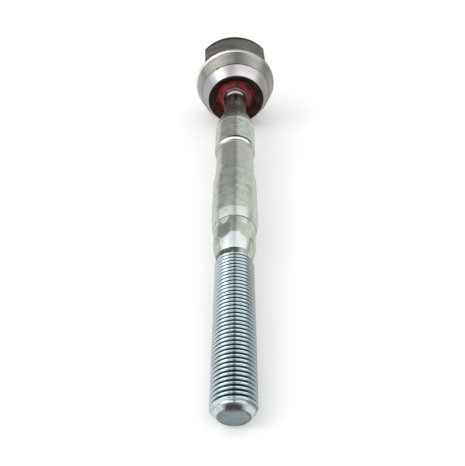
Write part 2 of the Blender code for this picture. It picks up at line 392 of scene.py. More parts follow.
def box_tool(name, low, high, turn=0.0):
    """A box from corner to corner, turned about Z, that cuts another piece."""
    mesh = bpy.data.meshes.new(name)
    shape = bmesh.new()
    bmesh.ops.create_cube(shape, size=1.0)
    size = Vector(high) - Vector(low)
    middle = (Vector(high) + Vector(low)) / 2.0
    place = Matrix.Translation(middle) @ Matrix.Diagonal((*size, 1.0))
    shape.transform(Matrix.Rotation(turn, 4, "Z") @ place)
    shape.to_mesh(mesh)
    shape.free()
    return link(name, mesh)


def cut(piece, tool):
    modifier = piece.modifiers.new("Cut", "BOOLEAN")
    modifier.operation = "DIFFERENCE"
    modifier.solver = "EXACT"
    modifier.object = tool


def settle(piece, place, material, tools=()):
    """Make the piece a plain mesh in its place, smooth but for its sharp edges and flats."""
    graph = bpy.context.evaluated_depsgraph_get()
    mesh = bpy.data.meshes.new_from_object(piece.evaluated_get(graph))
    piece.modifiers.clear()
    piece.data = mesh
    for tool in tools:
        bpy.data.objects.remove(tool)
    mesh.shade_smooth()
    mesh.set_sharp_from_angle(angle=SHARP_ANGLE)
    mark_flats(mesh)
    mesh.transform(place)
    mesh.materials.clear()
    mesh.materials.append(material)
    return piece


def mark_flats(mesh, least_corners=9):
    """Make the border of each milled flat sharp, so that it stays level in the light."""
    shape = bmesh.new()
    shape.from_mesh(mesh)
    for face in shape.faces:
        if len(face.verts) >= least_corners:
            for edge in face.edges:
                edge.smooth = False
    shape.to_mesh(mesh)
    shape.free()


def rod_outline():
    """Outline (r, station) of the rod from the ball's back down to the thread's relief."""
    ball_meeting = math.atan2(BALL_FOOT - BALL, FILLET_RADIUS)
    flat = math.acos(BALL_FLAT_RADIUS / BALL_RADIUS)
    ball = arc((0.0, BALL), BALL_RADIUS, flat, ball_meeting, BALL_STEP)
    fillet = arc((FILLET_RADIUS, BALL_FOOT), NECK_FILLET, ball_meeting + math.pi, math.pi)
    fall = []
    for i in range(FALL_PARTS + 1):
        share = 1.0 - i / FALL_PARTS
        drop = 0.5 * (1.0 - math.cos(math.pi * share))
        radius = SHOULDER_RADIUS + (NECK_RADIUS - SHOULDER_RADIUS) * drop
        fall.append((radius, FALL + SHOULDER_FALL_LENGTH * share))
    step = []
    for i in range(BOOT_STEP_PARTS + 1):
        turn = 0.5 * math.pi * (1.0 - i / BOOT_STEP_PARTS)
        radius = BOOT_GROOVE_RADIUS + (SHOULDER_RADIUS - BOOT_GROOVE_RADIUS) * math.sin(turn)
        step.append((radius, BOOT_STEP + BOOT_STEP_LENGTH * (1.0 - math.cos(turn))))
    lower = rounded([
        (*step[-1], 0.0),
        (BOOT_GROOVE_RADIUS, BOOT_GROOVE, 0.002),
        (BODY_RADIUS, BOOT_TAPER, 0.001),
        (BODY_RADIUS, BODY, 0.0006),
        (UPPER_CONE_START_RADIUS, UPPER_CONE, 0.00012),
        (LAND_RADIUS, UPPER_CONE, 0.0),
        (LAND_RADIUS, LAND, EDGE_ROUND),
        (LOWER_CONE_START_RADIUS, LOWER_CONE, EDGE_ROUND),
        (RELIEF_RADIUS, LOWER_CONE - EDGE_ROUND, 0.0),
        (RELIEF_RADIUS, RELIEF, 0.0),
        (0.0, RELIEF, 0.0),
    ])
    return [(0.0, ball[0][1]), *ball, *fillet[1:], *fall, *step, *lower[1:]]


def hex_tools():
    """The six tools of the wrench hexagon, hollowed by the cone that its flats run out on."""
    half = 0.5 * HEX_ACROSS_FLATS
    rise = LAND_RADIUS - HEX_STEP - half
    cone = [
        (0.0, UPPER_CONE + HEX_RAMP_LENGTH),
        (half + 2.0 * rise, UPPER_CONE + HEX_RAMP_LENGTH),
        (half - rise, UPPER_CONE - 2.0 * HEX_RAMP_LENGTH),
        (0.0, UPPER_CONE - 2.0 * HEX_RAMP_LENGTH),
    ]
    ramp = turned("ramp_tool", cone)
    reach = 2.0 * LAND_RADIUS
    tools = []
    for index in range(6):
        low = (half, -reach, LOWER_CONE)
        high = (reach, reach, UPPER_CONE)
        tool = box_tool(f"flat_tool_{index}", low, high, math.radians(60.0 * index))
        cut(tool, ramp)
        tools.append(tool)
    return tools, ramp


def make_rod(material):
    """The rod from its ball to the thread's relief, with the wrench hexagon."""
    rod = turned("rod_forging", rod_outline())
    tools, ramp = hex_tools()
    for tool in tools:
        cut(rod, tool)
    settle(rod, ROD_FRAME, material, [*tools, ramp])
    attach(rod, "rod")
    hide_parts("rod")
    return rod


def empty_thread_tree():
    """A tree with the thread's inputs and its one output, still without nodes."""
    tree = bpy.data.node_groups.new("helical_thread", "GeometryNodeTree")
    face = tree.interface
    face.new_socket(name="Geometry", in_out="OUTPUT", socket_type="NodeSocketGeometry")
    for name in ("Radius", "Length", "Pitch", "Start Radius", "End Radius"):
        face.new_socket(name=name, in_out="INPUT", socket_type="NodeSocketFloat")
    for name in ("Sides", "Rows per Turn"):
        face.new_socket(name=name, in_out="INPUT", socket_type="NodeSocketInt")
    face.new_socket(name="Material", in_out="INPUT", socket_type="NodeSocketMaterial")
    return tree


def thread_tree():
    """Geometry nodes of a right-hand thread with a chamfered start and a run-out.

    A grid is wrapped round Z. Its rows follow the helix, so that crests and roots lie
    on them, and two spare turns at each end are drawn in to close the end faces.
    """
    tree = empty_thread_tree()
    net = Net(tree)
    given = tree.nodes.new("NodeGroupInput")
    size = {socket.name: Field(net, socket) for socket in given.outputs if socket.name}
    pitch = size["Pitch"]
    length = size["Length"]
    turns = (length / pitch).math("CEIL") + 2.0 * SPARE_TURNS
    grid_values = {
        "Size X": 1.0,
        "Size Y": 1.0,
        "Vertices X": size["Sides"] + 1.0,
        "Vertices Y": turns * size["Rows per Turn"] + 1.0,
    }
    grid = net.node("GeometryNodeMeshGrid", grid_values, "Mesh")
    across, along, _ = net.split(net.node("GeometryNodeInputPosition"))
    turn = across + 0.5
    winding = (along + 0.5) * turns
    raw = (winding + turn - SPARE_TURNS) * pitch
    z = raw.at_least(0.0).at_most(length)
    from_crest = abs(winding.math("FRACT") - 0.5) * 2.0
    flank = ((from_crest - CREST_SHARE) / FLANK_SHARE).unit()
    form = size["Radius"] - flank * pitch * THREAD_DEPTH_SHARE
    start = size["Start Radius"] + z
    end = size["End Radius"] + (length - z) * RUN_OUT_SLOPE
    radius = form.at_most(start).at_most(end)
    past = (-raw).at_least(raw - length).at_least(0.0)
    radius = radius * (1.0 - past / (0.5 * pitch)).at_least(0.0)
    angle = turn * (2.0 * math.pi)
    place = net.join(radius * angle.math("COSINE"), radius * angle.math("SINE"), z)
    wrapped = net.node("GeometryNodeSetPosition", {"Geometry": grid, "Position": place})
    sewn = net.node("GeometryNodeMergeByDistance", {"Geometry": wrapped, "Distance": WELD})
    real = net.node("GeometryNodeRealizeInstances", {"Geometry": sewn})
    painted = net.node("GeometryNodeSetMaterial", {"Geometry": real, "Material": size["Material"]})
    out = tree.nodes.new("NodeGroupOutput")
    net.feed(out.inputs[0], painted)
    return tree


def make_thread_end(name, radius, chamfer, place, material, body):
    """The chamfered end of a thread: a plug as thick as the thread's core."""
    core = radius - THREAD_DEPTH_SHARE * THREAD_PITCH
    cone = core - (radius - chamfer)
    outline = rounded([
        (0.0, 2.0 * chamfer, 0.0),
        (core, 2.0 * chamfer, 0.0),
        (core, cone, 0.0),
        (radius - chamfer, 0.0, EDGE_ROUND),
        (0.0, 0.0, 0.0),
    ])
    plug = turned(name, outline, THREAD_SIDES)
    settle(plug, place, material)
    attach(plug, body)
    return plug


def make_thread(name, tree, sizes, place, material, body):
    """A threaded stretch from the thread tree, as a plain mesh in its place.

    It starts a little inside its plug, whose chamfer hides the closed first turn.
    """
    piece = link(name, bpy.data.meshes.new(name))
    modifier = piece.modifiers.new("Thread", "NODES")
    modifier.node_group = tree
    inputs = [i for i in tree.interface.items_tree if i.item_type == "SOCKET" and i.in_out == "INPUT"]
    fixed = {
        "Length": sizes["Length"] - THREAD_HIDDEN,
        "Start Radius": sizes["Start Radius"] + THREAD_HIDDEN - THREAD_SINK,
        "Pitch": THREAD_PITCH,
        "Sides": THREAD_SIDES,
        "Rows per Turn": ROWS_PER_PITCH,
        "Material": material,
    }
    values = {**sizes, **fixed}
    for item in inputs:
        modifier[item.identifier] = values[item.name]
    graph = bpy.context.evaluated_depsgraph_get()
    mesh = bpy.data.meshes.new_from_object(piece.evaluated_get(graph))
    piece.modifiers.clear()
    piece.data = mesh
    face_out(mesh)
    mesh.shade_smooth()
    mesh.transform(place @ Matrix.Translation((0.0, 0.0, THREAD_HIDDEN)))
    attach(piece, body)
    return piece


def turn_out(shape):
    """Turn all faces of a closed shape outwards."""
    bmesh.ops.recalc_face_normals(shape, faces=shape.faces)
    if shape.calc_volume(signed=True) < 0.0:
        bmesh.ops.reverse_faces(shape, faces=shape.faces)


def face_out(mesh):
    """Drop the collapsed faces of a closed mesh and turn the others outwards."""
    shape = bmesh.new()
    shape.from_mesh(mesh)
    bmesh.ops.dissolve_degenerate(shape, dist=WELD, edges=shape.edges)
    turn_out(shape)
    shape.to_mesh(mesh)
    shape.free()


def housing_outline():
    """Outline (r, height) of the housing from the stud's root round to the bore's floor."""
    return rounded([
        (0.0, STUD_START, 0.0),
        (STUD_UNDERCUT_RADIUS, STUD_START, 0.0),
        (STUD_UNDERCUT_RADIUS, DRUM_BACK, 0.0004),
        (DRUM_RADIUS - DRUM_CHAMFER, DRUM_BACK, 0.0002),
        (DRUM_RADIUS, DRUM_BACK - DRUM_CHAMFER, 0.0002),
        (DRUM_RADIUS, DRUM_FRONT, 0.0001),
        (BAND_RADIUS, DRUM_FRONT, 0.00005),
        (LIP_START_RADIUS + LIP_STEP, BAND_FRONT, 0.0002),
        (LIP_START_RADIUS, BAND_FRONT, 0.00012),
        (RIM_RADIUS, RIM, 0.0004),
        (THROAT_RADIUS, THROAT_FRONT, 0.00015),
        (THROAT_RADIUS, THROAT_BACK, 0.0),
        (BORE_RADIUS, THROAT_BACK + BORE_RADIUS - THROAT_RADIUS, 0.0),
        (BORE_RADIUS, BORE_FLOOR, 0.0),
        (0.0, BORE_FLOOR, 0.0),
    ])


def make_housing(material):
    """The housing with its two wrench flats, but for the stud's thread."""
    housing = turned("housing_forging", housing_outline())
    tools = []
    for side in (-1.0, 1.0):
        near = side * 0.5 * FLAT_ACROSS
        far = side * 2.0 * DRUM_RADIUS
        low = (min(near, far), -2.0 * DRUM_RADIUS, DRUM_FRONT + FLAT_SETBACK)
        high = (max(near, far), 2.0 * DRUM_RADIUS, 2.0 * DRUM_BACK)
        tools.append(box_tool("wrench_tool", low, high))
        cut(housing, tools[-1])
    settle(housing, HOUSING_FRAME, material, tools)
    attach(housing, "housing")
    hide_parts("housing")
    return housing


def make_front_seat(material):
    """The resin ring whose front edge shows in the mouth."""
    parting = -0.5 * CLEARANCE
    front = SEAT_OPENING_ANGLE - 0.5 * math.pi
    inside = arc((0.0, 0.0), BALL_CAVITY, front, SEAT_BACK_ANGLE, SEAT_STEP)
    outline = [
        (SEAT_RADIUS, parting),
        (SEAT_RADIUS, SEAT_FRONT + SEAT_RADIUS - THROAT_RADIUS),
        (THROAT_RADIUS, SEAT_FRONT),
        *inside,
    ]
    seat = turned("seat_ring", outline, closed=True)
    settle(seat, HOUSING_FRAME, material)
    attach(seat, "housing")
    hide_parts("front_seat")
    return seat


def shell_layers(shape, inner, outer):
    """Rows of points of the outer and the inner surface, which share the first and last row."""
    rows = GREASE_ROWS
    columns = GREASE_COLUMNS
    layers = []
    for surface in (outer, inner):
        grid = []
        for j in range(rows + 1):
            if surface is inner and j in (0, rows):
                grid.append(layers[0][j])
                continue
            line = []
            for i in range(columns):
                angle = 2.0 * math.pi * i / columns
                r, z = surface(angle, j / rows)
                line.append(shape.verts.new((r * math.cos(angle), r * math.sin(angle), z)))
            grid.append(line)
        layers.append(grid)
    return layers


def noisy_shell(name, inner, outer, place, material, body):
    """A closed ring between two surfaces, each a function of (turn, share) to (r, z)."""
    shape = bmesh.new()
    for grid in shell_layers(shape, inner, outer):
        for j in range(GREASE_ROWS):
            for i in range(GREASE_COLUMNS):
                k = (i + 1) % GREASE_COLUMNS
                shape.faces.new((grid[j][i], grid[j][k], grid[j + 1][k], grid[j + 1][i]))
    turn_out(shape)
    mesh = bpy.data.meshes.new(name)
    shape.to_mesh(mesh)
    shape.free()
    mesh.shade_smooth()
    mesh.transform(place)
    mesh.materials.append(material)
    piece = link(name, mesh)
    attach(piece, body)
    return piece


def ring_noise(angle, scale, height):
    """Noise that meets itself again after a full turn."""
    return noise.noise(Vector((scale * math.cos(angle), scale * math.sin(angle), height)))


def make_ball_grease(material):
    """The coat of grease on the ball, within the running gap."""
    start = math.radians(31.0)
    end = math.radians(78.0)
    least = 0.00002
    most = 0.00025

    def surface(lift):
        def at(angle, share):
            polar = start + (end - start) * share
            fade = math.sin(math.pi * min(max(share, 0.0), 1.0)) ** 0.35
            lump = ring_noise(angle, 2.2, 7.0 * share)
            thick = least + (most - least) * fade * (0.62 + 0.75 * lump)
            radius = BALL_RADIUS + (max(least, min(thick, most)) if lift else 0.5 * least)
            return radius * math.sin(polar), BALL - radius * math.cos(polar)

        return at

    return noisy_shell("grease_coat", surface(False), surface(True), ROD_FRAME, material, "rod")


def make_mouth_grease(material):
    """The bead of grease pressed out round the ball onto the seat's front edge."""
    inner_radius = BALL_CAVITY * math.sin(SEAT_OPENING_ANGLE) + 0.00012
    outer_radius = THROAT_RADIUS + 0.0006
    foot = SEAT_FRONT

    def at(lift):
        def place(angle, share):
            spread = 0.55 + 0.45 * ring_noise(angle, 1.4, 3.0)
            r = inner_radius + (outer_radius - inner_radius) * share * spread
            wave = ring_noise(angle, 4.0, 5.0 * share)
            height = 0.00042 * math.sin(math.pi * share) ** 0.7 * (0.8 + 0.7 * wave)
            slope = max(0.0, r - THROAT_RADIUS) * 0.45
            return r, foot - slope - (height if lift else -0.00001)

        return place

    return noisy_shell("grease_bead", at(False), at(True), HOUSING_FRAME, material, "housing")


def own_place(net, matrix):
    """Object coordinates in the piece's own frame, and their parts."""
    coordinates = net.node("ShaderNodeTexCoord", output="Object")
    values = {
        "Vector": coordinates,
        "Location": matrix.to_translation(),
        "Rotation": matrix.to_euler("XYZ"),
    }
    local = net.node("ShaderNodeMapping", values, vector_type="TEXTURE")
    return local, net.split(local)


def shade(tint, share):
    """The tint at a share of its brightness."""
    return tuple(share * v for v in tint)


def close_to(value, middle, reach, width):
    """1 within reach of the middle and 0 beyond it, falling over the width."""
    return 1.0 - abs(value - middle).above(reach, width)


def new_material(name):
    material = bpy.data.materials.new(name)
    material.use_nodes = True
    tree = material.node_tree
    return material, Net(tree), tree.nodes["Principled BSDF"]


def finish_shader(net, shader, colour, roughness, metallic, normal):
    for name, value in (
        ("Base Color", colour),
        ("Roughness", roughness),
        ("Metallic", metallic),
        ("Normal", normal),
    ):
        if value is not None:
            net.feed(shader.inputs[name], value)


def worn_zinc(net, local, patches, cloud, lathe):
    """Zinc plate with haze, stains and pits, a little greener on its right side."""
    x, _, _ = net.split(local)
    zinc = net.mix(patches.above(0.5, 0.35), (0.53, 0.57, 0.49), (0.60, 0.65, 0.58))
    zinc = net.mix(lathe.above(0.42, 0.3) * 0.4, zinc, (0.46, 0.49, 0.43))
    zinc = net.mix(x.above(0.0010, 0.003) * 0.4, zinc, (0.54, 0.63, 0.49))
    haze = cloud.above(0.56, 0.1)
    zinc = net.mix(haze * 0.5, zinc, (0.70, 0.76, 0.70))
    stain = (1.0 - cloud.above(0.42, 0.1)) * patches.above(0.44, 0.1)
    zinc = net.mix(stain * 0.6, zinc, (0.30, 0.31, 0.26))
    pits = net.spots(local, 800.0)
    return net.mix((1.0 - pits.above(0.14, 0.1)) * 0.5, zinc, (0.22, 0.22, 0.2))


def marked_zinc(net, zinc, place, cloud):
    """The plate's marks: turned groove, cones, a dark olive patch on the hexagon's left flat, and
    painted light: highlights on the lower cone and the boot step, shade in the relief and along the
    shoulder, a dark stripe down the hexagon.
    """
    x, _, z = place
    turned_groove = z.between(GROOVE_LINE, SHOULDER, 0.0004)
    zinc = net.mix(turned_groove * 0.6, zinc, (0.53, 0.53, 0.50))
    groove_end = z.between(GROOVE_LINE - 0.0003, GROOVE_LINE + 0.0003, 0.0003)
    zinc = net.mix(groove_end * 0.5, zinc, (0.26, 0.27, 0.24))
    # The lower cone is painted light blue only in a middle stretch, widest near the relief: a painted
    # highlight.
    bright_cone = z.between(LOWER_CONE, LAND - 0.0002, 0.0004)
    cone_reach = (LAND - z) * 0.35 + 0.0024
    cone_highlight_width = (1.0 - (abs(x + 0.0003) - cone_reach).above(0.0, 0.0022)).unit()
    zinc = net.mix(bright_cone * 0.75 * cone_highlight_width, zinc, (0.62, 0.68, 0.71))
    blue_cone = z.between(UPPER_CONE, BODY, 0.0006)
    zinc = net.mix(blue_cone * 0.6, zinc, (0.60, 0.65, 0.64))
    olive = z.between(LAND - 0.0006, UPPER_CONE - 0.0032, 0.0016)
    olive = olive * (-x).between(0.0016, 0.0066, 0.0016)
    zinc = net.mix(olive * (0.30 + 0.5 * cloud), zinc, (0.21, 0.22, 0.165))
    # A darker stripe down the hexagon's middle: a painted dark reflection.
    hex_stripe_shade = z.between(LAND, UPPER_CONE, 0.0010) * close_to(x, 0.0, 0.0016, 0.0012)
    zinc = net.mix(hex_stripe_shade * 0.5, zinc, (0.32, 0.35, 0.31))
    # The relief is painted near black on its left, in patches: painted shade in the recess.
    relief_shade = z.between(RELIEF, LOWER_CONE, 0.0003)
    relief_shade = relief_shade * (1.0 - x.above(0.0018, 0.0016)) * cloud.above(0.40, 0.12)
    zinc = net.mix(relief_shade * 0.85, zinc, (0.06, 0.06, 0.06))
    # A near black line along the shoulder's edge, above the step: painted shade.
    shoulder_line_shade = z.between(SHOULDER - 0.0004, SHOULDER + 0.0010, 0.0003) * x.above(-0.003, 0.004)
    zinc = net.mix(shoulder_line_shade * 0.95 * (1.0 - x.above(0.0075, 0.002)), zinc, (0.015, 0.015, 0.015))
    # The step face is painted near white in a crescent about its middle: a painted highlight.
    step_face_highlight = z.between(BOOT_STEP, SHOULDER - 0.0002, 0.0002)
    return net.mix(step_face_highlight * close_to(x, 0.0, 0.0062, 0.002) * 0.85, zinc, (0.97, 0.97, 0.96))


def bare_steel(net, place, drawn, fillet):
    """Dark drawn steel, reddish near the ball; its lighter right side, dark middle stripe and bright
    fillet are painted light.
    """
    x, _, z = place
    steel = net.mix(drawn.above(0.5, 0.25), (0.11, 0.11, 0.11), (0.36, 0.36, 0.37))
    steel = net.mix(z.above(BALL_FOOT - 0.004, 0.006) * 0.4, steel, (0.16, 0.05, 0.045))
    # The neck's right side is painted lighter: painted light.
    steel = net.mix(x.above(0.0008, 0.0016) * 0.4, steel, (0.46, 0.42, 0.41))
    sides = abs(x).above(0.0020, 0.0015) * z.above(BALL_FOOT - 0.010, 0.004)
    steel = net.mix(sides * 0.45, steel, (0.22, 0.085, 0.070))
    # A near black stripe down the neck's middle: a painted dark reflection.
    neck_stripe_shade = z.between(BALL_FOOT - 0.0090, BALL_FOOT - 0.0028, 0.0020)
    neck_stripe_shade = neck_stripe_shade * close_to(x, 0.0002, 0.0006, 0.0009)
    steel = net.mix(neck_stripe_shade * 0.8, steel, (0.015, 0.016, 0.018))
    # The fillet's colour is a painted highlight, a near white crescent on its top.
    return net.mix(fillet, steel, (0.92, 0.84, 0.82))


def rod_material():
    """Zinc plate on the rod, bare dark steel on its neck, and grease near the ball."""
    material, net, shader = new_material("rod_finish")
    local, (x, y, z) = own_place(net, ROD_FRAME)
    patches = net.noise(local, 170.0, 4.0, 0.6)
    cloud = net.noise(local, 420.0, 4.0, 0.65)
    fine = net.noise(local, 2200.0, 2.0, 0.6)
    lathe = net.noise(net.stretch(local, (0.05, 0.05, 1.0)), 3200.0, 3.0, 0.65)
    drawn = net.noise(net.stretch(local, (1.0, 1.0, 0.04)), 2600.0, 3.0, 0.6)
    zinc = worn_zinc(net, local, patches, cloud, lathe)
    zinc = marked_zinc(net, zinc, (x, y, z), cloud)
    # The fillet's top, between ball and neck, gets a painted highlight: near white, less metallic and
    # less rough.
    fillet = z.between(BALL_FOOT - 0.0015, BALL_FOOT + 0.0007, 0.0005)
    fillet = fillet * x.between(-0.0040, 0.0037, 0.0014) * (1.0 - y.above(-0.0022, 0.0010))
    steel = bare_steel(net, (x, y, z), drawn, fillet)
    edge = z + patches * 0.0012
    bare = edge.above(ZINC_END, 0.0003)
    colour = net.mix(bare, zinc, steel)
    line = edge.between(ZINC_END - 0.0010, ZINC_END, 0.0003)
    colour = net.mix(line * 0.8, colour, (0.80, 0.82, 0.78))
    red = (z.above(BALL_FOOT + 0.0022, 0.0006) * net.noise(local, 300.0).above(0.40, 0.2)).unit()
    colour = net.mix(red * 0.9, colour, (0.16, 0.012, 0.012))
    rough = 0.20 + 0.12 * patches + 0.10 * bare - 0.16 * fillet
    height = lathe * 0.6 + fine * 0.4 + drawn * bare
    normal = net.bump(height, 0.00001)
    finish_shader(net, shader, colour, rough, 1.0 - 0.5 * red - 0.8 * fillet, normal)
    return material


def thread_material(name, matrix, start, radius, tint, root_shade_tint):
    """Thread with bright crests, and painted shade: dark roots, darker sides and a dark line on top.

    The start says where the thread's end face lies on its axis, and how far from there
    the painted shade in the roots begins.
    """
    material, net, shader = new_material(name)
    local, (x, y, z) = own_place(net, matrix)
    root = radius - THREAD_DEPTH_SHARE * THREAD_PITCH
    depth = (((x * x + y * y) ** 0.5 - root) / (radius - root)).unit()
    patches = net.noise(local, 200.0, 4.0, 0.6)
    cloud = net.noise(local, 500.0, 4.0, 0.65)
    fine = net.noise(local, 2500.0, 2.0, 0.6)
    plate = net.mix(patches.above(0.5, 0.4), tint, shade(tint, 0.88))
    plate = net.mix(cloud.above(0.60, 0.1) * 0.35, plate, shade(tint, 0.7))
    # The thread's sides are painted darker, more on the right: painted shade; they are also rougher.
    dull = x.above(0.58 * radius, 0.10 * radius)
    dull = (dull + (-x).above(0.74 * radius, 0.2 * radius) * 0.7).unit()
    plate = net.mix(dull * 0.75, plate, shade(tint, 0.40))
    # A dark line along the thread's middle: a painted dark reflection.
    thread_stripe_shade = close_to(x, 0.02 * radius, 0.05 * radius, 0.12 * radius)
    plate = net.mix(thread_stripe_shade * (0.40 + 0.5 * patches), plate, shade(tint, 0.30))
    # The roots are painted dark, but for the chamfered start: painted shade in the roots.
    root_shade = (1.0 - depth.above(0.50, 0.34)) * abs(z - start[0]).above(start[1], 0.0004)
    root_shade_share = root_shade * (0.90 + 0.14 * patches).at_most(1.0) * (1.0 - 0.5 * dull)
    colour = net.mix(root_shade_share, plate, root_shade_tint)
    rough = 0.10 + 0.08 * patches + 0.25 * root_shade + 0.15 * dull
    normal = net.bump(fine, 0.000006)
    finish_shader(net, shader, colour, rough, 1.0, normal)
    return material


def end_material():
    """The sawn end of the rod: blue grey, with a dark edge, a bright chamfer and a stain on top."""
    material, net, shader = new_material("rod_end_finish")
    local, (x, y, z) = own_place(net, ROD_FRAME)
    cloud = net.noise(local, 420.0, 4.0, 0.65)
    sawn = net.noise(net.stretch(local, (0.1, 1.0, 1.0)), 1800.0, 3.0, 0.6)
    chamfer = z.above(0.00012, 0.0001)
    face = net.mix(cloud.above(0.5, 0.25), (0.20, 0.245, 0.26), (0.31, 0.36, 0.375))
    face = net.mix(sawn.above(0.55, 0.1) * 0.3, face, (0.12, 0.14, 0.15))
    radius = (x * x + y * y) ** 0.5
    face = net.mix((1.0 - radius.above(0.0026, 0.003)) * 0.5, face, (0.30, 0.38, 0.42))
    edge = radius.above(0.0046 + 0.0016 * (cloud - 0.5), 0.0006)
    edge = edge * (x + y).above(-0.0010, 0.004)
    face = net.mix(edge * 0.8, face, (0.060, 0.075, 0.042))
    rim = net.mix(cloud.above(0.5, 0.3), (0.50, 0.55, 0.62), (0.78, 0.82, 0.88))
    colour = net.mix(chamfer, face, rim)
    stain = (-y).above(0.0036, 0.0008) * (1.0 - radius.above(0.0058, 0.0004))
    stain = stain * close_to(x, 0.0, 0.0026, 0.0012)
    rust = net.noise(local, 700.0, 2.0, 0.6).above(0.50, 0.08)
    stain_colour = net.mix(rust, (0.045, 0.040, 0.060), (0.150, 0.080, 0.045))
    colour = net.mix(stain * (0.95 - 0.3 * cloud), colour, stain_colour)
    normal = net.bump(sawn, 0.000012)
    finish_shader(net, shader, colour, 0.38 - 0.14 * chamfer, 0.9, normal)
    return material


def brushed_streaks(net, place):
    """Noise drawn out along a screw line round the housing."""
    x, y, z = place
    twist = z * 140.0
    turned_x = x * twist.math("COSINE") - y * twist.math("SINE")
    turned_y = x * twist.math("SINE") + y * twist.math("COSINE")
    return net.noise(net.join(turned_x, turned_y, z * 0.06), 900.0, 4.0, 0.7)


def drum_colour(net, place, patches, streaks):
    """Dark forging scale, with painted shade along the back rim."""
    z = place[2]
    scale = net.mix(streaks.above(0.5, 0.25), (0.055, 0.050, 0.045), (0.185, 0.170, 0.152))
    scale = net.mix(patches.above(0.55, 0.3) * 0.5, scale, (0.20, 0.185, 0.165))
    # A near black band along the back rim and its chamfer: painted shade.
    back_rim_shade = z.above(DRUM_BACK - DRUM_CHAMFER - 0.0020, 0.0006)
    return net.mix(back_rim_shade * 0.9, scale, (0.010, 0.010, 0.009))


def band_colour(net, place, cloud, lathe):
    """Turned silver, with painted shade: a dark stripe along its top and a darker far right."""
    x, y, _ = place
    band = net.mix(lathe.above(0.5, 0.3), (0.25, 0.243, 0.225), (0.44, 0.43, 0.40))
    # A dark stripe along the band's top, a little right of its middle: a painted dark reflection.
    band_stripe_shade = close_to(x, 0.0015, 0.0042, 0.0062) * (1.0 - y.above(-0.010, 0.006))
    band = net.mix(band_stripe_shade * 0.75, band, (0.085, 0.082, 0.075))
    # Its far right is painted darker: painted shade.
    band = net.mix(x.above(0.0150, 0.004) * 0.45, band, (0.20, 0.195, 0.18))
    return net.mix(cloud.above(0.60, 0.08) * 0.5, band, (0.30, 0.28, 0.25))


def lip_colour(net, place, radius, patches, cloud):
    """Bright rolled steel, duller towards the band, with painted shade on its sides, most on the
    right, and left of its top.
    """
    x, y, _ = place
    lip = net.mix(patches.above(0.5, 0.5), (0.60, 0.585, 0.59), (0.74, 0.73, 0.735))
    lip = net.mix(cloud.above(0.60, 0.1) * 0.4, lip, (0.42, 0.40, 0.385))
    # The lip's sides and lower half are painted darker, most on the right: painted shade.
    lip_side_shade = y.above(-0.0085, 0.008) * (0.66 + 0.30 * x.above(0.0, 0.020))
    lip = net.mix(lip_side_shade, lip, (0.30, 0.29, 0.27))
    lip = net.mix(radius.above(0.0152, 0.0012) * 0.5, lip, (0.40, 0.39, 0.40))
    # Just left of its top the lip is painted darker: painted shade.
    return net.mix((-x).between(0.0010, 0.0120, 0.0030) * 0.76, lip, (0.34, 0.335, 0.34))


def mouth_colour(net, local, place):
    """Black, smeared with dark red grease on its right and its lower side."""
    x, y, _ = place
    patchy = net.noise(local, 330.0, 2.0, 0.6).above(0.46, 0.22)
    sides = (0.15 + 0.6 * x.above(0.004, 0.012) + 0.6 * y.above(0.002, 0.010)).unit()
    return net.mix(patchy * sides, (0.010, 0.012, 0.008), (0.072, 0.018, 0.018))


def housing_material():
    """Dark forged drum, silver turned band, bright rolled lip, black mouth and bore."""
    material, net, shader = new_material("housing_finish")
    local, place = own_place(net, HOUSING_FRAME)
    x, y, z = place
    radius = (x * x + y * y) ** 0.5
    patches = net.noise(local, 140.0, 4.0, 0.6)
    cloud = net.noise(local, 380.0, 4.0, 0.65)
    fine = net.noise(local, 2400.0, 2.0, 0.6)
    lathe = net.noise(net.stretch(local, (0.04, 0.04, 1.0)), 2600.0, 3.0, 0.65)
    streaks = brushed_streaks(net, place)
    band = band_colour(net, place, cloud, lathe)
    lip = lip_colour(net, place, radius, patches, cloud)
    on_drum = z.above(DRUM_FRONT + 0.0002, 0.0001)
    on_lip = 1.0 - z.above(BAND_FRONT, 0.0001)
    bore_edge = RIM_RADIUS - 0.00018 + (z - RIM) * 0.05
    in_mouth = 1.0 - radius.above(bore_edge, 0.0001)
    in_mouth = in_mouth * (1.0 - z.above(BORE_FLOOR + 0.001, 0.001))
    # The step between lip and band is painted near black, less so below: painted shade in the step.
    groove = z.between(BAND_FRONT - 0.00025, BAND_FRONT + 0.00015, 0.0001)
    groove = groove * (1.0 - 0.75 * y.above(-0.014, 0.007))
    # The drum's front edge is painted near white, fading to the right: a painted highlight.
    drum_edge_highlight = z.between(DRUM_FRONT - 0.0007, DRUM_FRONT + 0.0002, 0.0001)
    drum_edge_highlight = drum_edge_highlight * (1.0 - 0.75 * x.above(0.002, 0.014))
    rust = 1.0 - net.far_from(local, RUST_SPOT).above(0.0007, 0.0006)
    colour = net.mix(on_lip, band, lip)
    colour = net.mix(groove * 0.7, colour, (0.05, 0.048, 0.042))
    colour = net.mix(drum_edge_highlight, colour, (0.98, 0.97, 0.95))
    colour = net.mix(on_drum, colour, drum_colour(net, place, patches, streaks))
    colour = net.mix(rust * 0.8, colour, (0.16, 0.06, 0.02))
    colour = net.mix(in_mouth, colour, mouth_colour(net, local, place))
    rough = 0.24 + 0.08 * patches + 0.20 * on_drum + 0.04 * on_lip
    metallic = 1.0 - 0.35 * on_drum - 0.6 * in_mouth
    height = lathe * (1.0 - on_drum) + fine * 0.3 + streaks * on_drum * 2.0
    normal = net.bump(height, 0.000012)
    shader.inputs["Specular IOR Level"].default_value = 0.15
    finish_shader(net, shader, colour, rough, metallic.unit(), normal)
    return material


